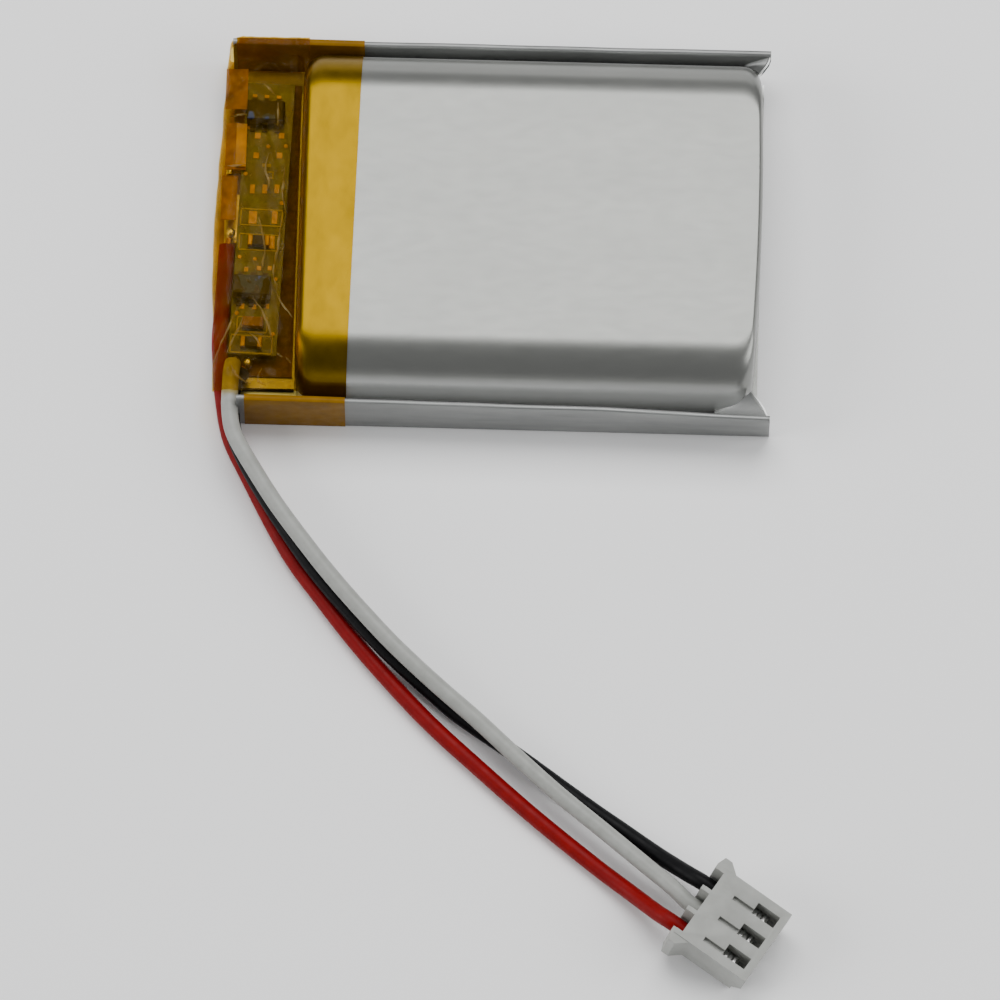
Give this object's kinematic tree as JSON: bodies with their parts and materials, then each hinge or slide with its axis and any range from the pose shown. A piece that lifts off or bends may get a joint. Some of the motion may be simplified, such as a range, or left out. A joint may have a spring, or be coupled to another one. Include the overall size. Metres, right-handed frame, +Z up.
{
  "type": "lithium polymer battery pack",
  "caption": "Flat silver pouch cell with a protection board under amber film at one end and short leads to a small white plug.",
  "frame": {"origin": "middle of the pack body's underside, leads and plug left out", "axes": "+X along the cell away from the lead end, +Y across the cell, +Z up out of the cup's flat face"},
  "size_m": [0.0464, 0.0769, 0.0075],
  "materials": {
    "laminate": "satin aluminium laminate with a clear nylon skin",
    "anode_coating": "matt graphite coating on foil",
    "cathode_coating": "matt oxide coating on foil",
    "separator": "microporous white film",
    "roll_tape": "green closing tape",
    "aluminium_tab": "bright rolled strip",
    "nickel": "rolled nickel strip, satin",
    "tab_sealant": "polypropylene sealing film",
    "insulation_paper": "fibrous insulating paper",
    "circuit_board": "green solder mask on glass epoxy",
    "chip_body": "moulded epoxy, fine matt",
    "ceramic_chip": "fired ceramic with tinned ends",
    "end_tape": "yellow polyimide tape over laminate",
    "cover_film": "clear amber polyimide film, creased",
    "red_insulation": "smooth extruded insulation",
    "black_insulation": "smooth extruded insulation",
    "white_insulation": "smooth extruded insulation",
    "copper": "tinned copper strands",
    "tinned_metal": "bright tin",
    "connector_nylon": "natural nylon, fine moulded"
  },
  "bodies": {
    "root": {"pouch_cup": "laminate", "pouch_back": "laminate", "side_seal_front": "laminate", "side_seal_rear": "laminate", "terrace_seal": "laminate", "anode_foil": "anode_coating", "cathode_foil": "cathode_coating", "inner_separator": "separator", "outer_separator": "separator", "roll_closing_tape": "roll_tape", "positive_tab": "aluminium_tab", "negative_tab": "nickel", "positive_tab_sealant": "tab_sealant", "negative_tab_sealant": "tab_sealant", "positive_weld_plate": "nickel", "negative_weld_plate": "nickel", "insulation_paper": "insulation_paper", "circuit_board": "circuit_board", "switch_mosfets": "chip_body", "protection_ic": "chip_body", "thermistor": "chip_body", "filter_capacitor": "ceramic_chip", "supply_resistor": "chip_body", "end_tape": "end_tape", "board_cover_film": "cover_film", "red_wire": "red_insulation", "black_wire": "black_insulation", "white_wire": "white_insulation", "red_strands": "copper", "black_strands": "copper", "white_strands": "copper", "red_solder_joint": "tinned_metal", "black_solder_joint": "tinned_metal", "white_solder_joint": "tinned_metal", "connector_housing": "connector_nylon", "red_contact": "tinned_metal", "black_contact": "tinned_metal", "white_contact": "tinned_metal"}
  },
  "joints": []
}
